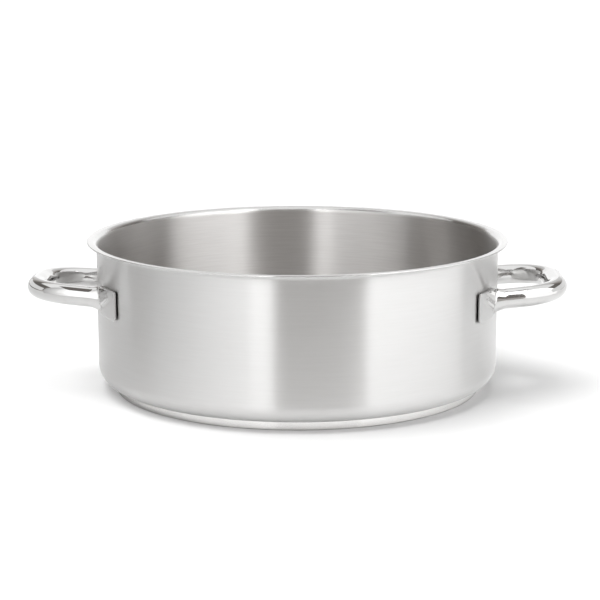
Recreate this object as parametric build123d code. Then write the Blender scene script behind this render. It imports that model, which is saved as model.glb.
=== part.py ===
"""A straight-sided braiser of stainless steel, in millimetres.

The origin is the centre of the base, on the surface that the pan stands on. +Z is up and X runs through
the handles. Five pieces: the drawn bowl, the heat-spreading disc under it, the cap over the disc, and two
tube handles.
"""
import os
from math import asin, atan2, cos, degrees, radians, sin, sqrt, tan

from build123d import *

# Bowl
inner_diameter = 320.0
overall_height = 121.0
sheet = 1.0
lower_round = 14.5
lip_round = 5.0
lip_reach = 7.5
lip_edge_round = 0.35

# Base: a disc of aluminium inside a thin pressed cap, which reaches a little past the flat of the bowl
cap_overhang = 0.5
cap_sheet = 0.7
cap_round = 1.6
core_thickness = 6.0
core_fit = 0.05

# Handles: one bent tube each
tube_diameter = 16.0
tube_wall = 1.2
leg_spacing = 104.0
leg_height = 80.4
leg_rise = 4.5
leg_converge = 8.0
handle_depth = 55.0
grip_bend = 36.0

# How each handle is welded on: how far its back leg is tilted up over its front leg, and how low it sits.
# The left one is made on the right and then turned half round the pan, so its high leg is at the front.
right_tilt = 0.0
right_sag = 0.0
left_tilt = 2.6
left_sag = 0.6

# Flattened foot at each end of a tube
foot_thickness = 2.4
foot_height = 23.4
foot_drop = 1.4
foot_inner_reach = 10.0
foot_outer_reach = 33.5
foot_corner = 2.5
foot_edge_round = 0.7
weld_gap = 0.15
neck_length = 6.0
neck_flare = 1.3
fold_start = 2.5
fold_height = 3.8
fold_lift = 7.4
fold_margin = 2.5
bore_end_height = 1.6
bore_end_width = 0.5
bore_end_share = 0.55
vent_diameter = 1.6
vent_inset = 4.0
overrun = 5.0

# Radii and heights that follow from the sizes above
wall_inside = inner_diameter / 2
wall_outside = wall_inside + sheet
rim_radius = wall_outside + lip_reach
cap_radius = wall_outside - lower_round + cap_overhang
core_radius = cap_radius - cap_sheet - core_fit
base_height = cap_sheet + core_thickness
tube_radius = tube_diameter / 2
bore_radius = tube_radius - tube_wall
foot_inside = wall_outside + weld_gap
foot_outside = foot_inside + foot_thickness
handle_reach = wall_outside + handle_depth

# Where a leg's centreline meets the wall, and which way the leg runs
leg_half = leg_spacing / 2
leg_angle = degrees(asin(leg_half / wall_outside))
leg_x = wall_outside * cos(radians(leg_angle))
rise_rate = tan(radians(leg_rise))


def make_pan_body():
    """The bowl: floor, lower radius, straight wall and pouring rim, revolved from one section of sheet."""
    lip_centre_r = wall_inside + lip_round
    lip_centre_z = overall_height - lip_round
    lip_under = lip_round - sheet
    inner_round = lower_round - sheet
    corner_z = base_height + lower_round
    floor_top = base_height + sheet
    with BuildPart() as pan:
        with BuildSketch(Plane.XZ):
            with BuildLine():
                Line((0, base_height), (wall_outside - lower_round, base_height))
                RadiusArc((wall_outside - lower_round, base_height), (wall_outside, corner_z), -lower_round)
                Line((wall_outside, corner_z), (wall_outside, lip_centre_z))
                RadiusArc((wall_outside, lip_centre_z), (lip_centre_r, lip_centre_z + lip_under), lip_under)
                Line((lip_centre_r, lip_centre_z + lip_under), (rim_radius, lip_centre_z + lip_under))
                Line((rim_radius, lip_centre_z + lip_under), (rim_radius, overall_height))
                Line((rim_radius, overall_height), (lip_centre_r, overall_height))
                RadiusArc((lip_centre_r, overall_height), (wall_inside, lip_centre_z), -lip_round)
                Line((wall_inside, lip_centre_z), (wall_inside, corner_z))
                RadiusArc((wall_inside, corner_z), (wall_inside - inner_round, floor_top), inner_round)
                Line((wall_inside - inner_round, floor_top), (0, floor_top))
                Line((0, floor_top), (0, base_height))
            make_face()
        revolve(axis=Axis.Z)
        lip_edges = pan.edges().filter_by(GeomType.CIRCLE).sort_by(SortBy.RADIUS)[-2:]
        fillet(lip_edges, lip_edge_round)
    return pan.part


def make_base_core():
    """The aluminium disc, with its lower edge rounded to sit in the cap."""
    with BuildPart() as core:
        with Locations((0, 0, cap_sheet)):
            Cylinder(core_radius, core_thickness, align=(Align.CENTER, Align.CENTER, Align.MIN))
        fillet(core.edges().filter_by(GeomType.CIRCLE).sort_by(Axis.Z)[0], cap_round - cap_sheet)
    return core.part


def make_base_cap():
    """The pressed cap: a shallow cup that closes the disc in against the bowl."""
    with BuildPart() as cap:
        Cylinder(cap_radius, base_height, align=(Align.CENTER, Align.CENTER, Align.MIN))
        fillet(cap.edges().filter_by(GeomType.CIRCLE).sort_by(Axis.Z)[0], cap_round)
        with BuildPart(mode=Mode.SUBTRACT) as room:
            with Locations((0, 0, cap_sheet)):
                Cylinder(cap_radius - cap_sheet, base_height, align=(Align.CENTER, Align.CENTER, Align.MIN))
            fillet(room.edges().filter_by(GeomType.CIRCLE).sort_by(Axis.Z)[0], cap_round - cap_sheet)
    return cap.part


class Handle:
    """A handle on the right: a bent tube with a flattened foot at each end, set as it is welded on."""

    def __init__(self, tilt, sag):
        self.climb = tan(radians(tilt))
        self.sag = sag

    def leg_point(self, along, side):
        """A point on a leg's centreline, along from where it meets the wall. side is -1 at the front."""
        x = leg_x + along * cos(radians(leg_converge))
        y = side * (leg_half - along * sin(radians(leg_converge)))
        return Vector(x, y, leg_height - self.sag + y * self.climb + (x - wall_outside) * rise_rate)

    def leg_plane(self, along, side):
        """A plane across a leg, facing the wall, with its own x axis upwards."""
        here = self.leg_point(along, side)
        heading = (self.leg_point(0, side) - self.leg_point(neck_length, side)).normalized()
        level = heading.cross(Vector(0, 0, 1))
        return Plane(origin=here, x_dir=level.cross(heading), z_dir=heading)

    def swept_tube(self, radius, start):
        """A round bar along the tube's centreline, with each end a distance out from the wall."""
        corner = (handle_reach - tube_radius - leg_x) / cos(radians(leg_converge))
        stops = ((start, -1), (corner, -1), (corner, 1), (start, 1))
        path = FilletPolyline(*[self.leg_point(along, side) for along, side in stops], radius=grip_bend)
        return sweep(Plane(origin=path @ 0, z_dir=path % 0) * Circle(radius), path=path)

    def foot_middle(self, side):
        """The height of the middle of a foot."""
        return leg_height - self.sag + side * leg_half * self.climb - foot_drop

    def wall_plane(self, reach, radius, height, side):
        """A plane across the foot at an arc length from the leg's axis, facing away from the leg."""
        angle = radians(leg_angle) + reach / wall_outside
        centre = Vector(radius * cos(angle), side * radius * sin(angle), height)
        heading = Vector(-sin(angle), side * cos(angle), 0)
        return Plane(origin=centre, x_dir=(0, 0, 1), z_dir=heading)

    def make_plate(self, side):
        """The flat part of one foot: a curved plate on the wall with rounded corners and edges."""
        middle = self.foot_middle(side)
        inner = self.wall_plane(-foot_inner_reach, foot_inside, middle, side)
        turn = degrees((foot_inner_reach + foot_outer_reach) / wall_outside)
        first = degrees(atan2(side * inner.origin.Y, inner.origin.X))
        start = first if side > 0 else -first - turn
        section = Pos((foot_inside + foot_outside) / 2, middle) * Rectangle(foot_thickness, foot_height)
        plate = revolve(Plane.XZ.rotated((0, 0, start)) * section, axis=Axis.Z, revolution_arc=turn)
        short_edges = plate.edges().filter_by(GeomType.LINE).filter_by(Axis.Z, reverse=True)
        plate = fillet(short_edges, foot_corner)
        outer_rim = [e for e in plate.edges() if distance_out(e) > foot_outside - foot_edge_round / 2]
        return fillet(outer_rim, foot_edge_round)

    def foot_shapes(self, side):
        """The shapes of one flattened end: its plate, a flared neck and the fold that runs out on it."""
        neck_start = self.leg_plane(neck_length, side) * Circle(tube_radius)
        neck_shape = Ellipse(foot_height / 2 - foot_drop, tube_radius + neck_flare)
        neck_end = self.leg_plane(0, side) * neck_shape
        neck_root = self.leg_plane(-overrun, side) * neck_shape
        neck = loft([neck_start, neck_end, neck_root], ruled=True)

        fold_root = self.leg_plane(fold_start, side) * Circle(tube_radius)
        tip_reach = foot_outer_reach - fold_margin
        tip_height = self.foot_middle(side) + fold_lift
        tip = self.wall_plane(tip_reach, foot_inside + foot_thickness / 2, tip_height, side)
        fold = loft([fold_root, tip * Ellipse(fold_height, foot_thickness / 2)], ruled=True)
        return [self.make_plate(side), neck, fold]

    def make_bore(self):
        """The hollow of the tube, closed to a slit where the ends are pressed flat, and its vent hole."""
        bore = self.swept_tube(bore_radius, neck_length)
        slit_at = neck_length * (1 - bore_end_share)
        for side in (-1, 1):
            mouth = self.leg_plane(neck_length, side) * Circle(bore_radius)
            slit = self.leg_plane(slit_at, side) * Ellipse(bore_end_height, bore_end_width)
            bore += loft([mouth, slit], ruled=True)
        with Locations(self.leg_point(neck_length + vent_inset, -1)):
            bore += Cylinder(vent_diameter / 2, tube_diameter, align=(Align.CENTER, Align.CENTER, Align.MAX))
        return bore

    def make(self):
        """The whole handle, joined in one step and cut to lie on the round wall."""
        handle = self.swept_tube(tube_radius, neck_length / 2) + [*self.foot_shapes(-1), *self.foot_shapes(1)]
        wall = Cylinder(foot_inside, overall_height, align=(Align.CENTER, Align.CENTER, Align.MIN))
        return handle - wall - self.make_bore()


def distance_out(edge):
    """How far the middle of an edge lies from the pan's axis."""
    middle = edge @ 0.5
    return sqrt(middle.X ** 2 + middle.Y ** 2)


def main():
    """Makes the pieces and writes one file for each."""
    os.makedirs("parts", exist_ok=True)
    pieces = {
        "pan_body": make_pan_body(),
        "base_core": make_base_core(),
        "base_cap": make_base_cap(),
        "handle_right": Handle(right_tilt, right_sag).make(),
        "handle_left": Handle(left_tilt, left_sag).make().rotate(Axis.Z, 180),
    }
    for name, piece in pieces.items():
        export_step(piece, f"parts/{name}.step")
        print(name, "solids", len(piece.solids()), "volume", round(piece.volume))


main()
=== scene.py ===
"""A straight-sided stainless braiser on a white studio floor.

The bowl and the base cap are spun from sheet, the two handles are bent tubes whose ends are pressed flat,
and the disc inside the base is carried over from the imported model. Everything is in metres.
"""

import logging
import math
from dataclasses import dataclass
from enum import Enum
from typing import Callable

import bmesh
import bpy
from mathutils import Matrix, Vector


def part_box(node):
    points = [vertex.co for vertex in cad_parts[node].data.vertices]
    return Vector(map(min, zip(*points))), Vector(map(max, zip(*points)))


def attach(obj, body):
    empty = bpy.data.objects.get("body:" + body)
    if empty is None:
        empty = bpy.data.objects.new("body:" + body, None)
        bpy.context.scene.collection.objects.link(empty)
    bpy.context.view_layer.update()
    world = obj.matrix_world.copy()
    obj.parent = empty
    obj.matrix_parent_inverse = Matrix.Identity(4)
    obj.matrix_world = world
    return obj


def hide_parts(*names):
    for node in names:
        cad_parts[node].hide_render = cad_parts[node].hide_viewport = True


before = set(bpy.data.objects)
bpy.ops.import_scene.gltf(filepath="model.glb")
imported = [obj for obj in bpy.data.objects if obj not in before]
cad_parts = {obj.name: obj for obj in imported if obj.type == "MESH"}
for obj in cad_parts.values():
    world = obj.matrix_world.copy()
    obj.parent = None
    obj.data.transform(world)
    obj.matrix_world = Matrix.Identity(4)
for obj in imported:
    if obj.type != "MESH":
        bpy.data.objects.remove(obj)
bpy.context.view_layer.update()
LOG = logging.getLogger("braiser")
BODY = "root"
TINY = 1e-6
NOISE_MIDDLE = 0.5
Pair = tuple[float, float]
Colour = tuple[float, float, float]

# The sockets of a Mix node share their names, so they are found by place
MIX_SHARE, MIX_FIRST, MIX_SECOND, MIX_COLOUR = 0, 6, 7, 2


class Side(Enum):
    """A side of the pan, by the sign of X there."""

    LEFT = -1
    RIGHT = 1


def smooth(amount: float) -> float:
    """Eases an amount between 0 and 1 and holds it at both ends.

    Args:
        amount: The amount.

    Returns:
        The eased share.
    """
    share = min(1.0, max(0.0, amount))
    return share * share * (3 - 2 * share)


def grey(level: float) -> tuple[float, float, float, float]:
    """The opaque grey of one level."""
    return (level, level, level, 1.0)


class Value:
    """A number that flows through a node tree, with the usual arithmetic."""

    def __init__(self, recipe: "Recipe", socket: bpy.types.NodeSocket) -> None:
        """Wraps an output socket.

        Args:
            recipe: The node tree that the socket belongs to.
            socket: The output socket.
        """
        self.recipe = recipe
        self.socket = socket

    def _math(self, operation: str, *terms: "Value | float") -> "Value":
        """Adds a Math node.

        Args:
            operation: The node's operation.
            terms: What goes into its sockets, in order.

        Returns:
            The node's result.
        """
        inputs = dict(enumerate(terms))
        return self.recipe.value("ShaderNodeMath", "Value", {"operation": operation}, inputs)

    def __add__(self, other: "Value | float") -> "Value":
        """The sum."""
        return self._math("ADD", self, other)

    def __radd__(self, other: float) -> "Value":
        """The sum with a number on the left."""
        return self._math("ADD", other, self)

    def __sub__(self, other: "Value | float") -> "Value":
        """The difference."""
        return self._math("SUBTRACT", self, other)

    def __rsub__(self, other: float) -> "Value":
        """The difference from a number on the left."""
        return self._math("SUBTRACT", other, self)

    def __mul__(self, other: "Value | float") -> "Value":
        """The product."""
        return self._math("MULTIPLY", self, other)

    def __rmul__(self, other: float) -> "Value":
        """The product with a number on the left."""
        return self._math("MULTIPLY", other, self)

    def __truediv__(self, other: "Value | float") -> "Value":
        """The quotient."""
        return self._math("DIVIDE", self, other)

    def __pow__(self, other: float) -> "Value":
        """A power."""
        return self._math("POWER", self, other)

    def at_least(self, other: "Value | float") -> "Value":
        """The larger of this value and another one."""
        return self._math("MAXIMUM", self, other)

    def across(self, other: "Value") -> "Value":
        """The length of two values set at right angles."""
        return (self * self + other * other) ** 0.5

    def bearing(self, other: "Value") -> "Value":
        """The angle whose tangent is this value over another one."""
        return self._math("ARCTAN2", self, other)

    def ease(self, low: float, high: float) -> "Value":
        """Rises smoothly from 0 to 1 between two limits.

        Args:
            low: Where the rise starts.
            high: Where it ends, which may lie below low for a fall.

        Returns:
            The eased value.
        """
        settings = {"interpolation_type": "SMOOTHSTEP"}
        inputs = {"Value": self, "From Min": low, "From Max": high}
        return self.recipe.value("ShaderNodeMapRange", "Result", settings, inputs)


class Recipe:
    """The node tree of one finish or of the world."""

    def __init__(self, owner: bpy.types.Material | bpy.types.World) -> None:
        """Starts an empty tree.

        Args:
            owner: The material or world to fill.
        """
        owner.use_nodes = True
        self.tree = owner.node_tree
        self.tree.nodes.clear()

    def node(self, kind: str, settings: dict | None = None, inputs: dict | None = None) -> bpy.types.Node:
        """Adds one node.

        Args:
            kind: The node's type.
            settings: Its properties, set before its sockets. "stops" are a ramp's positions and levels.
            inputs: A value or a link for each socket, by name or place.

        Returns:
            The node.
        """
        made = self.tree.nodes.new(kind)
        for key, setting in (settings or {}).items():
            if key == "stops":
                self._set_stops(made.color_ramp, setting)
            else:
                setattr(made, key, setting)
        for key, given in (inputs or {}).items():
            if isinstance(given, Value):
                self.tree.links.new(given.socket, made.inputs[key])
            else:
                made.inputs[key].default_value = given
        return made

    def value(self, kind: str, output: str, settings: dict | None = None,
              inputs: dict | None = None) -> Value:
        """Adds one node and gives one of its outputs.

        Args:
            kind: The node's type.
            output: The name of the output.
            settings: Its properties.
            inputs: What its sockets get.

        Returns:
            The output.
        """
        return Value(self, self.node(kind, settings, inputs).outputs[output])

    def split(self, vector: Value) -> tuple[Value, Value, Value]:
        """The three parts of a vector.

        Args:
            vector: The vector.

        Returns:
            Its x, y and z.
        """
        parts = self.node("ShaderNodeSeparateXYZ", None, {"Vector": vector})
        return tuple(Value(self, parts.outputs[axis]) for axis in "XYZ")

    def object_place(self) -> tuple[Value, Value, Value]:
        """The three parts of a place on the object."""
        return self.split(self.value("ShaderNodeTexCoord", "Object"))

    def ray(self, kind: str) -> Value:
        """1 for one kind of ray, such as Camera, and 0 for the others."""
        return self.value("ShaderNodeLightPath", f"Is {kind} Ray")

    def noise(self, x: Value, y: Value, z: Value, detail: float) -> Value:
        """Soft noise from 0 to 1 with features about one unit wide.

        Args:
            x: The first part of the place to read it at.
            y: The second part.
            z: The third part.
            detail: How many finer layers it has.

        Returns:
            The noise.
        """
        where = self.value("ShaderNodeCombineXYZ", "Vector", None, {"X": x, "Y": y, "Z": z})
        inputs = {"Vector": where, "Scale": 1.0, "Detail": detail}
        return self.value("ShaderNodeTexNoise", "Fac", None, inputs)

    def even_noise(self, place: tuple[Value, Value, Value], pitch: float, detail: float) -> Value:
        """Noise whose features are as wide every way.

        Args:
            place: The place to read it at.
            pitch: The width of a feature.
            detail: How many finer layers it has.

        Returns:
            The noise.
        """
        return self.noise(*(part / pitch for part in place), detail)

    def bump(self, height: Value) -> Value:
        """The normal of a surface that rises by a height."""
        return self.value("ShaderNodeBump", "Normal", None, {"Height": height, "Distance": 1.0})

    def mix(self, share: Value, first: Value | Colour, second: Value | Colour) -> Value:
        """A colour between two others.

        Args:
            share: How far to go from the first to the second, 0 to 1.
            first: The first colour, plain or one that varies.
            second: The second colour, likewise.

        Returns:
            The colour.
        """
        inputs = {MIX_SHARE: share}
        for socket, colour in ((MIX_FIRST, first), (MIX_SECOND, second)):
            inputs[socket] = colour if isinstance(colour, Value) else (*colour, 1.0)
        made = self.node("ShaderNodeMix", {"data_type": "RGBA"}, inputs)
        return Value(self, made.outputs[MIX_COLOUR])

    def metal(self, inputs: dict) -> None:
        """Ends the tree with one shader of bare metal.

        Args:
            inputs: A value or a link for each of the shader's sockets.
        """
        shader = self.value("ShaderNodeBsdfPrincipled", "BSDF", None, {"Metallic": 1.0, **inputs})
        self.node("ShaderNodeOutputMaterial", None, {"Surface": shader})

    def _set_stops(self, ramp: bpy.types.ColorRamp, stops: tuple[Pair, ...]) -> None:
        """Fills a ramp.

        Args:
            ramp: The ramp.
            stops: The position and the grey level of each stop.
        """
        while len(ramp.elements) < len(stops):
            ramp.elements.new(1.0)
        for element, (position, level) in zip(ramp.elements, stops):
            element.position = position
            element.color = grey(level)


@dataclass(frozen=True, kw_only=True)
class BrushedSteel:
    """Stainless sheet brushed round the pan's axis.

    The lines follow the sheet's own profile: the height on a wall and the radius on a floor. The inside of
    the bowl and its polished lip are told apart by place. The inside is rougher, and its paler, warmer
    colour is painted light for the light that bounces round inside the bowl. A lip_height over the piece
    leaves out the lip, and a sheet_middle of 0 the inside.
    """

    name: str
    pale: Colour = (0.660, 0.657, 0.652)
    dull: Colour = (0.620, 0.616, 0.610)
    # Painted light: the inside's colours are paler and warmer than the outside's, for the light bouncing
    # inside the bowl
    inside_painted_light_pale: Colour = (0.770, 0.758, 0.748)
    inside_painted_light_dull: Colour = (0.660, 0.646, 0.634)
    roughness: float = 0.32
    anisotropy: float = 1.0
    across_the_lines: float = 0.25
    line_pitch: float = 0.0005
    line_run: float = 0.03
    line_depth: float = 0.0000045
    line_detail: float = 2.0
    band_pitch: float = 0.0012
    band_depth: float = 0.000003
    wave_pitch: float = 0.06
    wave_depth: float = 0.00004
    line_roughness: float = 0.05
    inner_roughness: float = 0.06
    lip_height: float = 1.0
    polish_start: float = 0.0035
    polish_full: float = 0.0015
    lip_polish: float = 0.13
    bend_centre_radius: float = 0.0
    bend_centre_height: float = 0.0
    sheet_middle: float = 0.0

    def material(self) -> bpy.types.Material:
        """Makes the finish.

        Returns:
            The material.
        """
        made = bpy.data.materials.new(self.name)
        recipe = Recipe(made)
        x, y, z = recipe.object_place()
        run_x, run_y, along = x / self.line_run, y / self.line_run, x.across(y) + z
        lines = recipe.noise(run_x, run_y, along / self.line_pitch, self.line_detail)
        bands = recipe.noise(run_x, run_y, along / self.band_pitch, self.line_detail)
        waves = recipe.even_noise((x, y, z), self.wave_pitch, 0.0)
        height = lines * self.line_depth + bands * self.band_depth + waves * self.wave_depth
        inner = self._inner(x, y, z)
        lip = z.ease(self.lip_height - self.polish_start, self.lip_height - self.polish_full)
        rough = (lines - NOISE_MIDDLE) * self.line_roughness + self.roughness + inner * self.inner_roughness
        outer_colour = recipe.mix(bands, self.dull, self.pale)
        # Painted light: the inside gets a paler, warmer colour than the outside
        inside_painted_light_colour = recipe.mix(bands, self.inside_painted_light_dull, self.inside_painted_light_pale)
        recipe.metal({
            "Base Color": recipe.mix(inner, outer_colour, inside_painted_light_colour),
            "Roughness": rough - lip * self.lip_polish,
            "Anisotropic": self.anisotropy,
            "Anisotropic Rotation": self.across_the_lines,
            "Normal": recipe.bump(height),
        })
        return made

    def _inner(self, x: Value, y: Value, z: Value) -> Value:
        """Tells the inside of the bowl from its outside.

        The sheet's middle is one distance from the line that its lower bend turns round, on the wall, the
        bend and the floor alike, and the inside is nearer.

        Args:
            x: The place's first part.
            y: Its second part.
            z: Its height.

        Returns:
            1 on the inside and 0 outside.
        """
        past = (x.across(y) - self.bend_centre_radius).at_least(0.0)
        below = (self.bend_centre_height - z).at_least(0.0)
        return past.across(below).ease(self.sheet_middle + TINY, self.sheet_middle - TINY)


@dataclass(frozen=True, kw_only=True)
class PolishedSteel:
    """Mirror-polished tube, with faint handling marks and the slight waviness of drawn tube.

    The pressed feet, which lie near the wall, are satin, and darker there by painted shade.
    """

    name: str
    wall_radius: float
    clean: Colour = (0.64, 0.637, 0.632)
    marked: Colour = (0.60, 0.594, 0.586)
    # Painted shade: a darker colour for the feet, where they lie against the wall
    satin: Colour = (0.54, 0.537, 0.532)
    roughness: float = 0.05
    foot_roughness: float = 0.24
    foot_reach: Pair = (0.0042, 0.0030)
    mark_roughness: float = 0.06
    mark_pitch: float = 0.012
    mark_detail: float = 3.0
    mark_fade: Pair = (0.45, 0.75)
    grain_pitch: float = 0.0012
    grain_detail: float = 1.0
    wave_pitch: float = 0.016
    wave_depth: float = 0.000006

    def material(self) -> bpy.types.Material:
        """Makes the finish.

        Returns:
            The material.
        """
        made = bpy.data.materials.new(self.name)
        recipe = Recipe(made)
        place = recipe.object_place()
        smudge = recipe.even_noise(place, self.mark_pitch, self.mark_detail).ease(*self.mark_fade)
        grain = recipe.even_noise(place, self.grain_pitch, self.grain_detail)
        waves = recipe.even_noise(place, self.wave_pitch, 0.0)
        foot = place[0].across(place[1]).ease(*(self.wall_radius + reach for reach in self.foot_reach))
        recipe.metal({
            # Painted shade: the feet near the wall get the darker colour, as well as their real satin
            # roughness
            "Base Color": recipe.mix(foot, recipe.mix(smudge, self.clean, self.marked), self.satin),
            "Roughness": smudge * grain * self.mark_roughness + foot * self.foot_roughness + self.roughness,
            "Normal": recipe.bump(waves * self.wave_depth),
        })
        return made


@dataclass(frozen=True)
class TurnedAluminium:
    """Aluminium disc with the rings that facing it off leaves."""

    name: str
    bright: Colour = (0.78, 0.79, 0.80)
    dark: Colour = (0.66, 0.67, 0.69)
    roughness: float = 0.38
    ring_roughness: float = 0.1
    ring_pitch: float = 0.0006
    ring_depth: float = 0.00002
    ring_detail: float = 2.0

    def material(self) -> bpy.types.Material:
        """Makes the finish.

        Returns:
            The material.
        """
        made = bpy.data.materials.new(self.name)
        recipe = Recipe(made)
        x, y, z = recipe.object_place()
        radius = x.across(y)
        rings = recipe.noise(radius / self.ring_pitch, z / self.ring_pitch, radius, self.ring_detail)
        recipe.metal({
            "Base Color": recipe.mix(rings, self.dark, self.bright),
            "Roughness": rings * self.ring_roughness + self.roughness,
            "Normal": recipe.bump(rings * self.ring_depth),
        })
        return made


def start_fresh() -> None:
    """Leaves edit mode and deselects everything."""
    if bpy.context.object and bpy.context.object.mode != "OBJECT":
        bpy.ops.object.mode_set(mode="OBJECT")
    bpy.ops.object.select_all(action="DESELECT")


def apply_place(piece: bpy.types.Object) -> None:
    """Moves an object's place and turn into its mesh.

    Args:
        piece: The object.
    """
    start_fresh()
    piece.select_set(True)
    bpy.context.view_layer.objects.active = piece
    bpy.ops.object.transform_apply(location=True, rotation=True, scale=True)


def add_modifier(piece: bpy.types.Object, kind: str, **settings: object) -> None:
    """Adds a modifier and applies it.

    Args:
        piece: The object.
        kind: The modifier's type.
        settings: Its properties.
    """
    modifier = piece.modifiers.new(kind.lower(), kind)
    for key, setting in settings.items():
        setattr(modifier, key, setting)
    bpy.context.view_layer.objects.active = piece
    bpy.ops.object.modifier_apply(modifier=modifier.name)


def dress(piece: bpy.types.Object, material: bpy.types.Material, node: str) -> None:
    """Gives a new piece its finish and its body, and hides the CAD node that it stands for.

    Args:
        piece: The object.
        material: Its finish.
        node: The CAD node.
    """
    piece.data.materials.clear()
    piece.data.materials.append(material)
    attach(piece, BODY)
    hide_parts(node)


@dataclass(frozen=True)
class Corner:
    """One corner of a sheet's section: its place, and the radius it is bent to."""

    radius: float
    height: float
    bend: float = 0.0


@dataclass(kw_only=True)
class SpunSheet:
    """A shape spun from sheet: a line of corners turned round the pan's axis, then given its thickness."""

    name: str
    node: str
    slot: str
    sheet: float
    edge_round: float
    edge_angle: float = math.radians(50)
    edge_steps: int = 3
    floor_step: float = 0.024
    bend_steps: int = 10
    cleared_bends: float = 1.2
    around: int = 256

    def corners(self) -> list[Corner]:
        """The outer side of the section, from the axis outwards."""
        raise NotImplementedError

    def finish(self) -> BrushedSteel:
        """The finish of the sheet."""
        raise NotImplementedError

    def make(self) -> list[bpy.types.Object]:
        """Models the piece and gives it its finish.

        Returns:
            A list of the one piece.
        """
        piece = self.build()
        dress(piece, self.finish().material(), self.node)
        return [piece]

    def build(self) -> bpy.types.Object:
        """Models the piece.

        Returns:
            The object.
        """
        corners = self.corners()
        piece = self._draw_section(corners)
        bpy.ops.mesh.select_all(action="SELECT")
        bpy.ops.mesh.spin(steps=self.around, angle=math.tau, center=(0, 0, 0), axis=(0, 0, 1))
        bpy.ops.mesh.select_all(action="SELECT")
        bpy.ops.mesh.remove_doubles(threshold=TINY)
        bpy.ops.mesh.normals_make_consistent(inside=False)
        self._face_outwards(piece)
        bpy.ops.object.mode_set(mode="OBJECT")
        add_modifier(piece, "SOLIDIFY", thickness=self.sheet, offset=-1.0, use_even_offset=True)
        add_modifier(piece, "BEVEL", width=self.edge_round, segments=self.edge_steps, limit_method="ANGLE",
                     angle_limit=self.edge_angle)
        bpy.ops.object.select_all(action="DESELECT")
        piece.select_set(True)
        bpy.ops.object.shade_smooth()
        add_modifier(piece, "WEIGHTED_NORMAL", keep_sharp=False)
        return piece

    def _draw_section(self, corners: list[Corner]) -> bpy.types.Object:
        """Draws the line of the section by extruding a point, and rounds its corners.

        Args:
            corners: The corners, the first on the axis.

        Returns:
            The object, in edit mode.
        """
        start_fresh()
        first = corners[0]
        bpy.ops.mesh.primitive_plane_add(size=self.sheet, location=(first.radius, 0, first.height))
        piece = bpy.context.object
        piece.name = self.name
        apply_place(piece)
        bpy.ops.object.mode_set(mode="EDIT")
        bpy.ops.mesh.select_mode(type="VERT")
        bpy.ops.mesh.select_all(action="SELECT")
        bpy.ops.mesh.merge(type="CENTER")
        here = first
        for corner in corners[1:]:
            run = Vector((corner.radius - here.radius, 0, corner.height - here.height))
            steps = max(1, round(run.length / self.floor_step))
            for _ in range(steps):
                bpy.ops.mesh.extrude_vertices_move(TRANSFORM_OT_translate={"value": run / steps})
            here = corner
        for corner in corners[1:-1]:
            if corner.bend > 0:
                self._round_corner(piece, corner)
        return piece

    def _round_corner(self, piece: bpy.types.Object, corner: Corner) -> None:
        """Rounds one square corner of the drawn line.

        Args:
            piece: The object, in edit mode.
            corner: The corner.
        """
        target = Vector((corner.radius, 0, corner.height))
        bpy.ops.mesh.select_all(action="DESELECT")
        mesh = bmesh.from_edit_mesh(piece.data)
        nearest = min(mesh.verts, key=lambda vertex: (vertex.co - target).length)
        room = corner.bend * self.cleared_bends
        crowded = [vertex for vertex in mesh.verts if vertex is not nearest and len(vertex.link_edges) == 2
                   and (vertex.co - nearest.co).length < room]
        bmesh.ops.dissolve_verts(mesh, verts=crowded)
        nearest.select = True
        bmesh.update_edit_mesh(piece.data)
        bpy.ops.mesh.bevel(offset=corner.bend, segments=self.bend_steps, affect="VERTICES")

    def _face_outwards(self, piece: bpy.types.Object) -> None:
        """Turns the skin round if its floor faces up.

        Args:
            piece: The object, in edit mode.
        """
        mesh = bmesh.from_edit_mesh(piece.data)
        floor = min(mesh.faces, key=lambda face: face.calc_center_median().z)
        if floor.normal.z > 0:
            bpy.ops.mesh.select_all(action="SELECT")
            bpy.ops.mesh.flip_normals()


@dataclass(kw_only=True)
class Bowl(SpunSheet):
    """The drawn bowl: flat floor, small lower radius, straight wall and a rim bent outwards to pour from."""

    name: str = "bowl"
    node: str = "pan_body"
    slot: str = "bowl_steel"
    sheet: float = 0.001
    edge_round: float = 0.00035
    rim_radius: float
    floor_height: float
    rim_height: float
    lip_reach: float = 0.0075
    lip_bend: float = 0.004
    lip_fall: float = 0.0002
    lower_bend: float = 0.0145

    @classmethod
    def from_frame(cls) -> "Bowl":
        """The bowl that fits its CAD node.

        Returns:
            The bowl.
        """
        low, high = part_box(cls.node)
        return cls(rim_radius=high[0], floor_height=low[2], rim_height=high[2])

    @property
    def wall_radius(self) -> float:
        """The outside radius of the straight wall."""
        return self.rim_radius - self.lip_reach

    def corners(self) -> list[Corner]:
        """The outer side of the section, from the axis outwards.

        Returns:
            The corners.
        """
        under_lip = self.rim_height - self.sheet
        return [
            Corner(0.0, self.floor_height),
            Corner(self.wall_radius, self.floor_height, self.lower_bend),
            Corner(self.wall_radius, under_lip, self.lip_bend),
            Corner(self.rim_radius, under_lip - self.lip_fall),
        ]

    def finish(self) -> BrushedSteel:
        """A satin brushing, rougher inside, with a polished lip. The inside's paler, warmer colour is
        painted light.

        Returns:
            The finish.
        """
        return BrushedSteel(
            name="bowl_satin", lip_height=self.rim_height, sheet_middle=self.lower_bend - self.sheet / 2,
            bend_centre_radius=self.wall_radius - self.lower_bend,
            bend_centre_height=self.floor_height + self.lower_bend)


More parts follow.
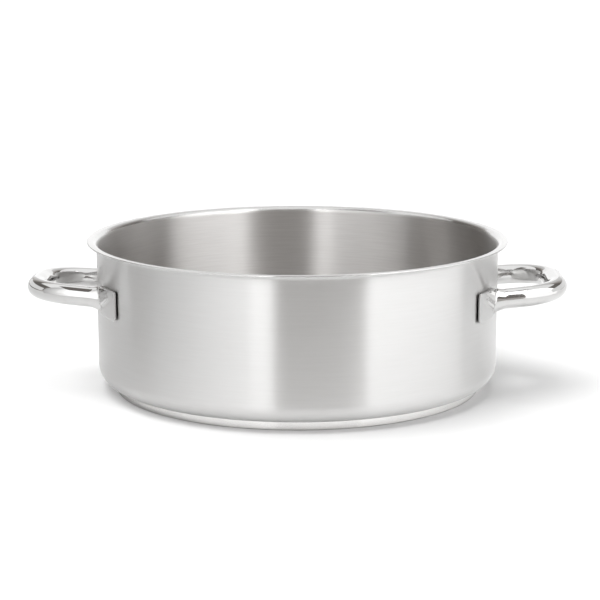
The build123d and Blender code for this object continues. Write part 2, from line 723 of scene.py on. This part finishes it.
@dataclass(kw_only=True)
class BaseCap(SpunSheet):
    """The pressed cup that holds the disc against the bowl."""

    name: str = "base_cup"
    node: str = "base_cap"
    slot: str = "cap_steel"
    sheet: float = 0.0007
    edge_round: float = 0.0002
    radius: float
    height: float
    lower_bend: float = 0.0009

    @classmethod
    def from_frame(cls) -> "BaseCap":
        """The cap that fits its CAD node.

        Returns:
            The cap.
        """
        _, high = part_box(cls.node)
        return cls(radius=high[0], height=high[2])

    def corners(self) -> list[Corner]:
        """The outer side of the section, from the axis outwards.

        Returns:
            The corners.
        """
        return [
            Corner(0.0, 0.0),
            Corner(self.radius, 0.0, self.lower_bend),
            Corner(self.radius, self.height),
        ]

    def finish(self) -> BrushedSteel:
        """A finer brushing than the bowl's, in paler colours that are painted light to brighten the ring.

        Returns:
            The finish.
        """
        # Painted light: the ring gets paler colours than the bowl's steel so that it shows brighter
        return BrushedSteel(name="cap_fine_brushed_painted_light", pale=(0.83, 0.822, 0.812), dull=(0.80, 0.79, 0.778),
                            roughness=0.18, line_pitch=0.0003)


@dataclass
class HeatDisc:
    """The aluminium disc inside the base, whose CAD shape stays as it is."""

    node: str = "base_core"

    def make(self) -> list[bpy.types.Object]:
        """Gives the disc its finish.

        Returns:
            A list of the one piece.
        """
        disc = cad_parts[self.node]
        disc.data.materials.clear()
        disc.data.materials.append(TurnedAluminium("disc_turned").material())
        return [disc]


@dataclass
class TubeHandle:
    """One bent tube with its ends pressed flat, turned outwards and welded to the wall.

    Half of it is modelled, from the middle of the grip to the end of one foot, then mirrored. A ring of
    points is carried along the tube. Each point keeps its own turn round the tube, 0 on the outer side of
    the loop and a quarter turn at the top, and on the foot that turn gives its height and side.
    """

    wall_radius: float
    reach: float
    tube_radius: float = 0.008
    leg_half: float = 0.052
    leg_height: float = 0.0804
    leg_rise: float = math.radians(4.5)
    leg_converge: float = math.radians(8.0)
    grip_bend: float = 0.036
    neck_start: float = 0.010
    foot_start: float = 0.0085
    foot_end: float = 0.0335
    foot_half_height: float = 0.0117
    foot_drop: float = 0.0014
    foot_gap: float = 0.00015
    foot_thickness: float = 0.0024
    foot_corner: float = 0.0025
    foot_edge: float = 0.0007
    foot_squareness: float = 6.0
    outer_crease: float = 0.0012
    heel_bend: float = 0.0045
    bend_room_share: float = 0.9
    fold_rise: float = 0.0019
    fold_low: float = -0.0054
    fold_slope: float = 0.46
    fold_width: float = 0.0032
    fold_ripple: float = 0.00007
    ripple_pitch: float = 0.0034
    ripple_fade: float = 3.0
    undercut: float = 0.0007
    undercut_depth: float = 0.0050
    undercut_run: float = 0.00125
    left_tilt: float = math.radians(2.6)
    left_sag: float = 0.0006
    around: int = 128
    grip_steps: int = 4
    bend_steps: int = 36
    leg_steps: int = 6
    neck_steps: int = 26
    corner_steps: int = 8
    foot_step: float = 0.0011
    foot_fine_step: float = 0.0004
    smooth_angle: float = math.radians(55)

    def __post_init__(self) -> None:
        """Works out where a leg meets the wall and how it runs."""
        self.wall_turn = math.asin(self.leg_half / self.wall_radius)
        self.leg_x = self.wall_radius * math.cos(self.wall_turn)
        self.rise_rate = math.tan(self.leg_rise)

    @classmethod
    def from_frame(cls, wall_radius: float) -> "TubeHandle":
        """The handle that reaches as far out as its CAD node.

        Args:
            wall_radius: The outside radius of the pan's wall.

        Returns:
            The handle.
        """
        _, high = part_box("handle_right")
        return cls(wall_radius=wall_radius, reach=high[0])

    def make(self) -> list[bpy.types.Object]:
        """Models both handles and gives them their finish.

        Returns:
            The right handle and the left one.
        """
        right = self.build("right_handle_tube")
        left = self.turned_copy(right, "left_handle_tube")
        mirror = PolishedSteel(name="handle_mirror", wall_radius=self.wall_radius).material()
        for piece, node in ((right, "handle_right"), (left, "handle_left")):
            dress(piece, mirror, node)
        return [right, left]

    def leg_point(self, along: float) -> Vector:
        """A point on the leg's centreline.

        Args:
            along: Its distance out from the wall, seen from above.

        Returns:
            The point.
        """
        step_x = along * math.cos(self.leg_converge)
        step_y = along * math.sin(self.leg_converge)
        x = self.leg_x + step_x
        return Vector((x, self.leg_half - step_y, self.leg_height + (x - self.wall_radius) * self.rise_rate))

    def build(self, name: str) -> bpy.types.Object:
        """Models the right handle.

        Args:
            name: The object's name.

        Returns:
            The object.
        """
        piece = self._bend_tube(name)
        self._press_foot(piece)
        bpy.ops.mesh.edge_face_add()
        bpy.ops.object.mode_set(mode="OBJECT")
        add_modifier(piece, "MIRROR", use_axis=(False, True, False), use_mirror_merge=True,
                     merge_threshold=TINY)
        bpy.ops.object.mode_set(mode="EDIT")
        bpy.ops.mesh.select_all(action="SELECT")
        bpy.ops.mesh.remove_doubles(threshold=TINY)
        bpy.ops.mesh.normals_make_consistent(inside=False)
        bpy.ops.object.mode_set(mode="OBJECT")
        bpy.ops.object.shade_smooth_by_angle(angle=self.smooth_angle)
        return piece

    def turned_copy(self, piece: bpy.types.Object, name: str) -> bpy.types.Object:
        """The same handle on the other side of the pan, a little tilted and low, as it is welded there.

        Args:
            piece: The right handle.
            name: The copy's name.

        Returns:
            The copy, with its own mesh.
        """
        start_fresh()
        piece.select_set(True)
        bpy.context.view_layer.objects.active = piece
        bpy.ops.object.duplicate()
        copy = bpy.context.object
        copy.name = name
        for vertex in copy.data.vertices:
            vertex.co.z += self._lever(vertex.co.y) * math.tan(self.left_tilt) - self.left_sag
        bpy.ops.transform.rotate(value=math.pi, orient_axis="Z", center_override=(0, 0, 0))
        apply_place(copy)
        return copy

    def _lever(self, y: float) -> float:
        """How far along the tilt a point counts: its own distance on the tube, and the leg's on the foot.

        Args:
            y: The point's distance from the middle of the grip.

        Returns:
            The distance that tilts it.
        """
        inner = self.leg_half - self.tube_radius
        share = min(1.0, max(0.0, (abs(y) - inner) / (2 * self.tube_radius)))
        far = min(abs(y), inner) + 2 * self.tube_radius * (share - share * share / 2)
        return math.copysign(far, y)

    def _bend_tube(self, name: str) -> bpy.types.Object:
        """Bends the round part, from the middle of the grip to where the leg starts to flatten.

        Args:
            name: The object's name.

        Returns:
            The object, in edit mode with the last ring selected.
        """
        far_x = self.reach - self.tube_radius
        corner_at = (far_x - self.leg_x) / math.cos(self.leg_converge)
        corner = self.leg_point(corner_at)
        inwards = (self.leg_point(0.0) - corner).normalized()
        grip_way = Vector((0, 1, 0))
        turn = grip_way.angle(inwards)
        shorten = self.grip_bend * math.tan(turn / 2)
        straight = corner.y - shorten
        outwards = Vector((math.cos(self.leg_rise), 0, math.sin(self.leg_rise)))
        upright = outwards.cross(grip_way)
        start_fresh()
        bpy.ops.mesh.primitive_circle_add(
            vertices=self.around, radius=self.tube_radius, fill_type="NOTHING",
            location=(corner.x, 0, corner.z), rotation=(math.pi / 2, 0, 0))
        piece = bpy.context.object
        piece.name = name
        apply_place(piece)
        bpy.ops.object.mode_set(mode="EDIT")
        bpy.ops.mesh.select_mode(type="EDGE")
        bpy.ops.mesh.select_all(action="SELECT")
        self._mark_turns(piece, Vector((corner.x, 0, corner.z)), outwards, upright)
        self._extrude(grip_way * straight, self.grip_steps)
        centre = Vector((corner.x, straight, corner.z)) - outwards * self.grip_bend
        bpy.ops.mesh.spin(steps=self.bend_steps, angle=-turn, center=centre, axis=upright)
        neck = self.leg_point(self.neck_start)
        bend_end = corner + inwards * shorten
        self._extrude(neck - bend_end, self.leg_steps)
        return piece

    def _mark_turns(self, piece: bpy.types.Object, centre: Vector, outwards: Vector,
                    upright: Vector) -> None:
        """Writes each point's turn round the tube, which extruding then carries along.

        Args:
            piece: The object, in edit mode.
            centre: The middle of the first ring.
            outwards: The way to the outer side of the loop.
            upright: The way up, square to the loop.
        """
        mesh = bmesh.from_edit_mesh(piece.data)
        cosine = mesh.verts.layers.float.new("turn_cosine")
        sine = mesh.verts.layers.float.new("turn_sine")
        for vertex in mesh.verts:
            arm = (vertex.co - centre) / self.tube_radius
            vertex[cosine] = arm.dot(outwards)
            vertex[sine] = arm.dot(upright)
        bmesh.update_edit_mesh(piece.data)

    def _extrude(self, run: Vector, steps: int) -> None:
        """Extrudes the selected ring in a straight line.

        Args:
            run: The whole way.
            steps: How many rings it takes.
        """
        for _ in range(steps):
            bpy.ops.mesh.extrude_edges_move(TRANSFORM_OT_translate={"value": run / steps})

    def _press_foot(self, piece: bpy.types.Object) -> None:
        """Carries the ring through the neck and along the wall to the end of the foot.

        Args:
            piece: The object, in edit mode with the last round ring selected.
        """
        for share in self._shares(self.neck_steps):
            self._add_ring(piece, lambda c, s, u=share: self._neck_point(c, s, u))
        reach = self.foot_end - self.foot_corner
        arcs = [self.foot_start + self.foot_step]
        while arcs[-1] < reach - TINY:
            dense = arcs[-1] > self.foot_end - self.undercut_depth - self.foot_step
            arcs.append(min(arcs[-1] + (self.foot_fine_step if dense else self.foot_step), reach))
        for arc in arcs:
            self._add_ring(piece, lambda c, s, t=arc: self._foot_point(c, s, t))
        for share in self._shares(self.corner_steps):
            arc = reach + self.foot_corner * math.sin(share * math.pi / 2)
            self._add_ring(piece, lambda c, s, t=arc: self._foot_point(c, s, t))

    def _shares(self, count: int) -> list[float]:
        """Even shares of a whole, without zero."""
        return [(step + 1) / count for step in range(count)]

    def _add_ring(self, piece: bpy.types.Object, place: Callable[[float, float], Vector]) -> None:
        """Extrudes the selected ring and puts each new point in its place.

        Args:
            piece: The object, in edit mode.
            place: Gives a point's place from the cosine and sine of its turn.
        """
        bpy.ops.mesh.extrude_edges_move(TRANSFORM_OT_translate={"value": (0, 0, 0)})
        mesh = bmesh.from_edit_mesh(piece.data)
        cosine = mesh.verts.layers.float["turn_cosine"]
        sine = mesh.verts.layers.float["turn_sine"]
        for vertex in mesh.verts:
            if vertex.select:
                vertex.co = place(vertex[cosine], vertex[sine])
        bmesh.update_edit_mesh(piece.data)

    def _on_wall(self, arc: float, out: float, height: float) -> Vector:
        """Turns a place on the foot into one in space.

        Args:
            arc: The distance round the wall from the leg's axis, away from the grip.
            out: The distance out from the wall.
            height: The height above the middle of the foot.

        Returns:
            The place.
        """
        angle = self.wall_turn + arc / self.wall_radius
        radius = self.wall_radius + out
        middle = self.leg_height - self.foot_drop
        return Vector((radius * math.cos(angle), radius * math.sin(angle), middle + height))

    def _half_height(self, arc: float) -> float:
        """Half the foot's height, less where its corners are rounded.

        Args:
            arc: The place along the foot.

        Returns:
            Half the height.
        """
        past = max(0.0, arc - (self.foot_end - self.foot_corner))
        rounded = math.sqrt(max(0.0, self.foot_corner ** 2 - past ** 2))
        return self.foot_half_height - self.foot_corner + rounded

    def _raised(self, arc: float, height: float) -> float:
        """How far the fold stands above the flat part, with the ripples that pressing leaves.

        Args:
            arc: The place along the foot.
            height: The place across it.

        Returns:
            The extra thickness.
        """
        past = arc - self.foot_start
        above = height - self.fold_low - self.fold_slope * past
        run_out = max(0.0, 1.0 - past / (self.foot_end - self.foot_corner - self.foot_start))
        eased = smooth(above / self.fold_width)
        fade = min(1.0, run_out * self.ripple_fade)
        ripple = self.fold_ripple * math.sin(math.tau * above / self.ripple_pitch) * eased * fade
        return self.fold_rise * run_out * eased + ripple

    def _foot_out(self, cosine: float, sine: float, arc: float) -> tuple[float, float]:
        """The section of the flat foot.

        Args:
            cosine: The cosine of the point's turn.
            sine: Its sine.
            arc: The place along the foot.

        Returns:
            The distance out from the wall, and the height.
        """
        height = self._half_height(arc) * sine
        to_end = self.foot_end - arc
        inset = 0.0
        if to_end < self.foot_edge:
            past = self.foot_edge - to_end
            inset = self.foot_edge - math.sqrt(max(0.0, self.foot_edge ** 2 - past ** 2))
        lift = smooth((self.undercut_depth - to_end) / self.undercut_run)
        front = self.foot_gap + self.foot_thickness + self._raised(arc, height) - inset
        back = self.foot_gap + self.undercut * lift
        fullness = max(0.0, 1 - abs(sine) ** self.foot_squareness) ** (1 / self.foot_squareness)
        side = math.copysign(fullness, cosine) if abs(cosine) > TINY else 0.0
        return (front + back) / 2 + side * (front - back) / 2, height

    def _foot_point(self, cosine: float, sine: float, arc: float) -> Vector:
        """A point of the foot's skin.

        Args:
            cosine: The cosine of the point's turn.
            sine: Its sine.
            arc: The place along the foot.

        Returns:
            The place in space.
        """
        out, height = self._foot_out(cosine, sine, arc)
        return self._on_wall(arc, out, height)

    def _neck_point(self, cosine: float, sine: float, share: float) -> Vector:
        """A point of the neck's skin, between the last round ring and the start of the foot.

        The point runs straight down the leg, round a bend and then along the wall.

        Args:
            cosine: The cosine of the point's turn.
            sine: Its sine.
            share: How far along the neck, 0 to 1.

        Returns:
            The place in space.
        """
        inwards = (self.leg_point(0.0) - self.leg_point(self.neck_start)).normalized()
        grip_side = Vector((0, 0, 1)).cross(inwards).normalized()
        upright = inwards.cross(grip_side)
        outer_side = -grip_side
        start = self.leg_point(self.neck_start)
        start = start + (outer_side * cosine + upright * sine) * self.tube_radius
        out, height = self._foot_out(cosine, sine, self.foot_start)
        end = self._on_wall(self.foot_start, out, height)
        turn = self.wall_turn + self.foot_start / self.wall_radius
        wall_way = Vector((-math.sin(turn), math.cos(turn), 0))
        bend = self._meeting(start, inwards, end, wall_way)
        reach_in = (bend - start).length
        reach_on = (end - bend).length
        softness = self.outer_crease + (self.heel_bend - self.outer_crease) * (1 - cosine) / 2
        softness = min(softness, self.bend_room_share * reach_in, self.bend_room_share * reach_on)
        done = share * (reach_in + reach_on)
        first = start.lerp(bend, min(done, reach_in) / reach_in)
        if done <= reach_in - softness:
            place = first
        elif done >= reach_in + softness:
            place = bend.lerp(end, (done - reach_in) / reach_on)
        else:
            part = (done - reach_in + softness) / (2 * softness)
            enter = bend + (start - bend).normalized() * softness
            leave = bend + (end - bend).normalized() * softness
            place = enter.lerp(bend, part).lerp(bend.lerp(leave, part), part)
        return Vector((place.x, place.y, start.z + (end.z - start.z) * smooth(share)))

    def _meeting(self, start: Vector, way_in: Vector, end: Vector, way_on: Vector) -> Vector:
        """Where the run down the leg and the run along the wall meet, seen from above.

        Args:
            start: A point on the leg's skin.
            way_in: The way down the leg.
            end: The point's place on the foot.
            way_on: The way along the wall.

        Returns:
            The meeting point, at the height of the end.
        """
        gap = end - start
        cross = way_in.x * way_on.y - way_in.y * way_on.x
        along = (gap.x * way_on.y - gap.y * way_on.x) / cross
        met = start + way_in * along
        return Vector((met.x, met.y, end.z))


@dataclass(frozen=True)
class SoftBox:
    """A glowing panel near the pan that the metal mirrors and nothing else sees.

    With a far glow, the panel changes evenly from its corner to the far end of its length.
    """

    name: str
    corner: tuple[float, float, float]
    length: tuple[float, float, float]
    height: tuple[float, float, float]
    glow: float
    far_glow: float | None = None

    def build(self) -> None:
        """Adds the panel."""
        start_fresh()
        bpy.ops.mesh.primitive_plane_add(size=1)
        panel = bpy.context.object
        panel.name = self.name
        corner, length, height = Vector(self.corner), Vector(self.length), Vector(self.height)
        for vertex in panel.data.vertices:
            vertex.co = corner + length * (vertex.co.x + 0.5) + height * (vertex.co.y + 0.5)
        material = bpy.data.materials.new(self.name)
        recipe = Recipe(material)
        x, y, _ = recipe.object_place()
        step = length / length.length_squared
        share = (x - corner.x) * step.x + (y - corner.y) * step.y
        far_glow = self.glow if self.far_glow is None else self.far_glow
        strength = recipe.ray("Glossy") * (share * (far_glow - self.glow) + self.glow)
        glow = recipe.value("ShaderNodeEmission", "Emission", None, {"Strength": strength})
        recipe.node("ShaderNodeOutputMaterial", None, {"Surface": glow})
        panel.data.materials.append(material)
        panel.visible_camera = False
        panel.visible_diffuse = False
        panel.visible_shadow = False


@dataclass(frozen=True)
class StandingLight:
    """A tall light beside the table: a low panel and a tall one over it, each with its own pair of glows."""

    name: str
    corner: Pair
    run: Pair
    low_glows: Pair
    high_glows: Pair
    tall: float = 1.1

    def boxes(self, split: float) -> list[SoftBox]:
        """Its two panels.

        Args:
            split: The height at which the tall one starts.

        Returns:
            The low panel and the tall one.
        """
        run, low, high = (*self.run, 0.0), (0.0, 0.0, split), (0.0, 0.0, self.tall)
        return [
            SoftBox(f"{self.name}_low", (*self.corner, 0.0), run, low, *self.low_glows),
            SoftBox(f"{self.name}_high", (*self.corner, split), run, high, *self.high_glows),
        ]


@dataclass(frozen=True)
class OverheadLight:
    """A level light over the table."""

    name: str
    left: float
    right: float
    front: float
    back: float = 1.05
    glow: float = 1.2

    def box(self, height: float) -> SoftBox:
        """Its panel.

        Args:
            height: The height that it hangs at.

        Returns:
            The panel.
        """
        across, along = (self.right - self.left, 0.0, 0.0), (0.0, self.back - self.front, 0.0)
        return SoftBox(self.name, (self.left, self.front, height), across, along, self.glow)


@dataclass
class Studio:
    """A white table, a soft sun from the left, panels of light for the metal and a plain surround.

    The levels give how bright the surround is to the metal, near the horizon and overhead. They go from the
    back round by the left, the front and the right, each as a share of the way round and a level there.
    """

    table_half: float = 6.0
    table_front: float = -0.66
    table_albedo: float = 0.82
    table_glow: float = 0.22
    near_glow: float = 0.22
    near_reach: Pair = (0.65, 0.20)
    foot_reach: Pair = (0.155, 0.185)
    left_reach: Pair = (-0.45, -0.08)
    ring_glow: float = 0.42
    ring_reach: Pair = (0.210, 0.175)
    ring_start: Pair = (0.1475, 0.151)
    ring_side: Pair = (-0.18, 0.10)
    right_glow: float = 0.14
    right_reach: Pair = (-0.10, 0.60)
    sun_strength: float = 3.25
    sun_height: float = 2.0
    sun_lean: float = math.radians(14)
    sun_heading: float = math.radians(-74)
    sun_spread: float = math.radians(52)
    ambient: float = 0.10
    low_end: float = 0.12
    high_start: float = 0.25
    low_levels: tuple[Pair, ...] = (
        (0.0, 1.1), (0.03, 1.1), (0.055, 0.25), (0.20, 0.16), (0.235, 0.45), (0.29, 0.60), (0.31, 0.42),
        (0.46, 0.48), (0.53, 0.50), (0.60, 0.62), (0.70, 0.50), (0.77, 1.40), (0.84, 0.95), (0.90, 0.85),
        (0.96, 1.1), (1.0, 1.1),
    )
    high_levels: tuple[Pair, ...] = (
        (0.0, 0.85), (0.05, 0.75), (0.10, 0.20), (0.20, 0.17), (0.25, 0.22), (0.30, 0.22), (0.40, 0.21),
        (0.60, 0.23), (0.70, 0.15), (0.80, 0.22), (0.88, 0.18), (0.94, 0.75), (1.0, 0.85),
    )
    warm: Colour = (1.0, 0.935, 0.882)
    white: Colour = (1.0, 1.0, 1.0)
    warm_fade: Pair = (0.3, 0.9)
    split_height: float = 0.25
    standing: tuple[StandingLight, ...] = (
        StandingLight("right_window", corner=(0.398, -0.581), run=(0.262, 0.626), tall=2.15,
                      low_glows=(1.60, 1.55), high_glows=(3.1, 2.0)),
        StandingLight("left_strip", corner=(-0.185, -0.886), run=(-0.175, 0.05),
                      low_glows=(1.45, 2.1), high_glows=(3.2, 3.1)),
        StandingLight("left_fill_near", corner=(-0.36, -0.836), run=(-0.19, 0.18),
                      low_glows=(1.85, 1.42), high_glows=(1.95, 1.65)),
        StandingLight("left_fill_middle", corner=(-0.55, -0.656), run=(-0.08, 0.24),
                      low_glows=(1.42, 1.08), high_glows=(1.6, 1.3)),
        StandingLight("left_fill_far", corner=(-0.63, -0.416), run=(-0.03, 0.32),
                      low_glows=(1.08, 0.65), high_glows=(1.15, 0.6)),
    )
    overhead_height: float = 1.3
    overhead: tuple[OverheadLight, ...] = (
        OverheadLight("overhead_left", left=-1.30, right=-0.62, front=-0.50),
        OverheadLight("overhead_back_left", left=-0.62, right=-0.30, front=0.32),
        OverheadLight("overhead_middle", left=-0.30, right=0.35, front=-0.55),
        OverheadLight("overhead_back_right", left=0.35, right=0.46, front=0.15),
        OverheadLight("overhead_right", left=0.46, right=1.30, front=-0.70, glow=1.1),
    )
    grip_card_x: float = 0.285
    grip_card_front: float = -0.05
    grip_card_run: float = 0.24
    grip_card_low: float = 0.092
    grip_card_high: float = 0.132
    grip_card_glow: float = 1.0
    back_card: SoftBox = SoftBox("back_card", corner=(-0.45, 1.2, 0.0), length=(0.9, 0.0, 0.0),
                                 height=(0.0, 0.0, 0.62), glow=1.22)

    def build(self) -> None:
        """Adds the table, the lights and the world."""
        self._add_table()
        self._add_sun()
        self._add_world()
        for panel in self.panels():
            panel.build()

    def panels(self) -> list[SoftBox]:
        """The panels: a window on the right, a strip and a fading fill on the left, a row overhead, a small
        card beyond each handle, which its bend mirrors, and a card behind the pan.

        Returns:
            The panels.
        """
        panels = [box for light in self.standing for box in light.boxes(self.split_height)]
        panels += [light.box(self.overhead_height) for light in self.overhead]
        panels += [self._grip_card(side) for side in Side]
        return [*panels, self.back_card]

    def _grip_card(self, side: Side) -> SoftBox:
        """The small card beyond one handle.

        Args:
            side: The handle's side.

        Returns:
            The card.
        """
        corner = (side.value * self.grip_card_x, self.grip_card_front, self.grip_card_low)
        height = (0.0, 0.0, self.grip_card_high - self.grip_card_low)
        run = (0.0, self.grip_card_run, 0.0)
        return SoftBox(f"grip_card_{side.name.lower()}", corner, run, height, self.grip_card_glow)

    def _add_table(self) -> None:
        """A wide plane that is seen as plain white where nothing shades it.

        To the metal it is brighter in a pool round the pan, in a ring at the pan's foot and on the right.
        """
        start_fresh()
        middle = self.table_front + self.table_half
        bpy.ops.mesh.primitive_plane_add(size=self.table_half * 2, location=(0, middle, 0))
        table = bpy.context.object
        table.name = "studio_table"
        apply_place(table)
        material = bpy.data.materials.new("table_paper")
        recipe = Recipe(material)
        x, y, _ = recipe.object_place()
        radius = x.across(y)
        pool = radius.ease(*self.near_reach) * radius.ease(*self.foot_reach) * x.ease(*self.left_reach)
        ring = radius.ease(*self.ring_reach) * radius.ease(*self.ring_start) * x.ease(*self.ring_side)
        right = x.ease(*self.right_reach)
        mirrored = pool * self.near_glow + right * self.right_glow + ring * self.ring_glow
        seen = recipe.ray("Camera") + recipe.ray("Transmission")
        strength = seen * self.table_glow + recipe.ray("Glossy") * mirrored
        glow = recipe.value("ShaderNodeEmission", "Emission", None, {"Strength": strength})
        paper = recipe.value("ShaderNodeBsdfDiffuse", "BSDF", None, {"Color": grey(self.table_albedo)})
        both = recipe.value("ShaderNodeAddShader", "Shader", None, {0: paper, 1: glow})
        recipe.node("ShaderNodeOutputMaterial", None, {"Surface": both})
        table.data.materials.append(material)

    def _add_sun(self) -> None:
        """A wide soft sun that lights the table and isn't mirrored by the metal."""
        start_fresh()
        turn = (self.sun_lean, 0, self.sun_heading)
        bpy.ops.object.light_add(type="SUN", location=(0, 0, self.sun_height), rotation=turn)
        sun = bpy.context.object
        sun.name = "soft_sun"
        sun.data.energy = self.sun_strength
        sun.data.angle = self.sun_spread
        sun.visible_glossy = False

    def _add_world(self) -> None:
        """The surround: plain white to the camera, and to the metal a room with dark warm parts."""
        world = bpy.data.worlds.new("surround")
        bpy.context.scene.world = world
        recipe = Recipe(world)
        x, y, z = recipe.split(recipe.value("ShaderNodeTexCoord", "Generated"))
        heading = x.bearing(y * -1.0) / math.tau + 0.5
        low = recipe.value("ShaderNodeValToRGB", "Color", {"stops": self.low_levels}, {"Fac": heading})
        high = recipe.value("ShaderNodeValToRGB", "Color", {"stops": self.high_levels}, {"Fac": heading})
        above = z.ease(self.low_end, self.high_start)
        room = low * (1.0 - above) + high * above
        camera, diffuse = recipe.ray("Camera"), recipe.ray("Diffuse")
        strength = camera + (1.0 - camera) * (diffuse * self.ambient + (1.0 - diffuse) * room)
        plain = strength.ease(*self.warm_fade).at_least(diffuse)
        colour = recipe.mix(plain, self.warm, self.white)
        inputs = {"Color": colour, "Strength": strength}
        sky = recipe.value("ShaderNodeBackground", "Background", None, inputs)
        recipe.node("ShaderNodeOutputWorld", None, {"Surface": sky})


@dataclass
class ProductCamera:
    """The long lens and the place that the photograph was taken from."""

    lens: float = 114.67
    sensor: float = 36.0
    place: tuple[float, float, float] = (0.0021, -1.5186, 0.3778)
    tilt: float = math.radians(78.5135)

    def build(self) -> None:
        """Adds the camera and makes it the scene's own."""
        start_fresh()
        bpy.ops.object.camera_add(location=self.place, rotation=(self.tilt, 0, 0))
        camera = bpy.context.object
        camera.name = "product_camera"
        camera.data.lens = self.lens
        camera.data.sensor_width = self.sensor
        bpy.context.scene.camera = camera


def main() -> None:
    """Builds the studio and every piece of the pan in order."""
    logging.basicConfig(level=logging.INFO, format="%(name)s %(message)s")
    bpy.context.scene.view_settings.view_transform = "Standard"
    ProductCamera().build()
    Studio().build()
    bowl = Bowl.from_frame()
    for part in (bowl, BaseCap.from_frame(), TubeHandle.from_frame(bowl.wall_radius), HeatDisc()):
        for piece in part.make():
            LOG.info("%s: %d faces", piece.name, len(piece.data.polygons))


if __name__ == "__main__":
    main()
